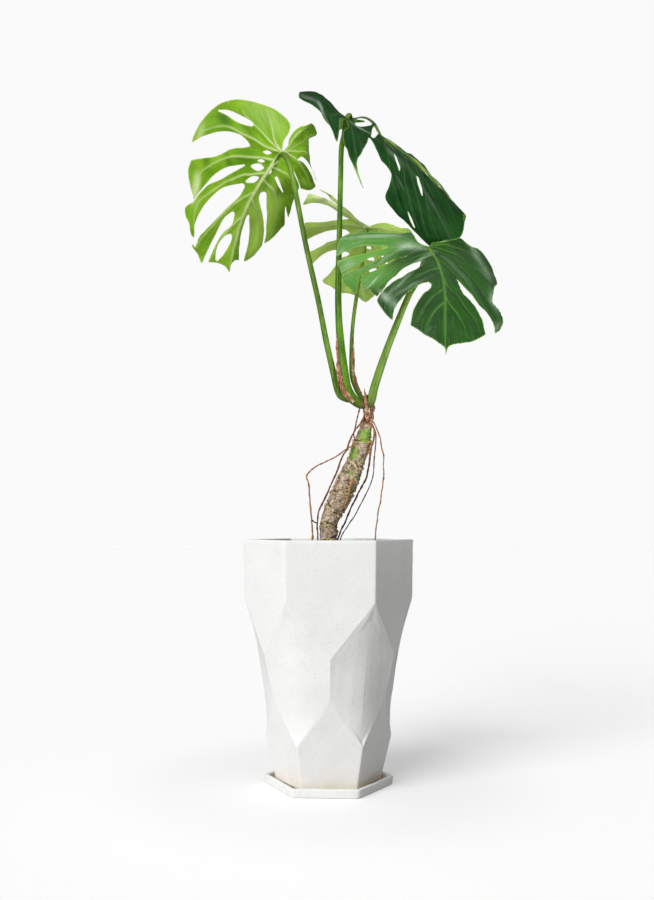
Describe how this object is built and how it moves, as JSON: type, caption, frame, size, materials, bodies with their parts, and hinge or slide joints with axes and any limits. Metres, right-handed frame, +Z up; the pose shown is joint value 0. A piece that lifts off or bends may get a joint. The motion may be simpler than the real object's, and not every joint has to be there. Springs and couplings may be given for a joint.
{
  "type": "potted monstera plant",
  "caption": "Young split-leaf monstera with a bare leaning stem and hanging aerial roots, in a tall faceted white pot on a shallow saucer; stands on the floor.",
  "frame": {"origin": "centre of the saucer's underside, on the floor", "axes": "+Z up along the pot's axis, +X to the viewer's right, +Y away from the viewer"},
  "size_m": [0.4855, 0.4253, 1.078],
  "materials": {
    "saucer": "matt white glaze, stained tan inside",
    "pot": "matt white with fine dark specks",
    "soil": "dark potting mix",
    "stem": "grey-beige bark with ring scars and green patches",
    "stalk": "smooth green, satin",
    "blade_top": "dark green, glossy upper side",
    "blade_left": "yellow-green, seen from its duller underside",
    "blade_right": "mid green, glossy upper side",
    "blade_back": "light yellow-green, seen from its duller underside",
    "dry_sheath": "dry brown, papery",
    "root": "orange-brown to dark brown, thin"
  },
  "bodies": {
    "root": {"saucer": "saucer", "pot": "pot", "soil": "soil", "stem": "stem", "leaf_stalk_top": "stalk", "leaf_blade_top": "blade_top", "leaf_stalk_left": "stalk", "leaf_blade_left": "blade_left", "leaf_stalk_right": "stalk", "leaf_blade_right": "blade_right", "leaf_stalk_back": "stalk", "leaf_blade_back": "blade_back", "dry_sheath_top_stalk": "dry_sheath", "dry_sheath_back_stalk": "dry_sheath", "dry_sheath_crown": "dry_sheath", "aerial_root_neck_left": "root", "aerial_root_long_left": "root", "aerial_root_kneed": "root", "aerial_root_link": "root", "aerial_root_right_inner": "root", "aerial_root_right_middle": "root", "aerial_root_right_outer": "root", "aerial_root_stem_front": "root"}
  },
  "joints": []
}
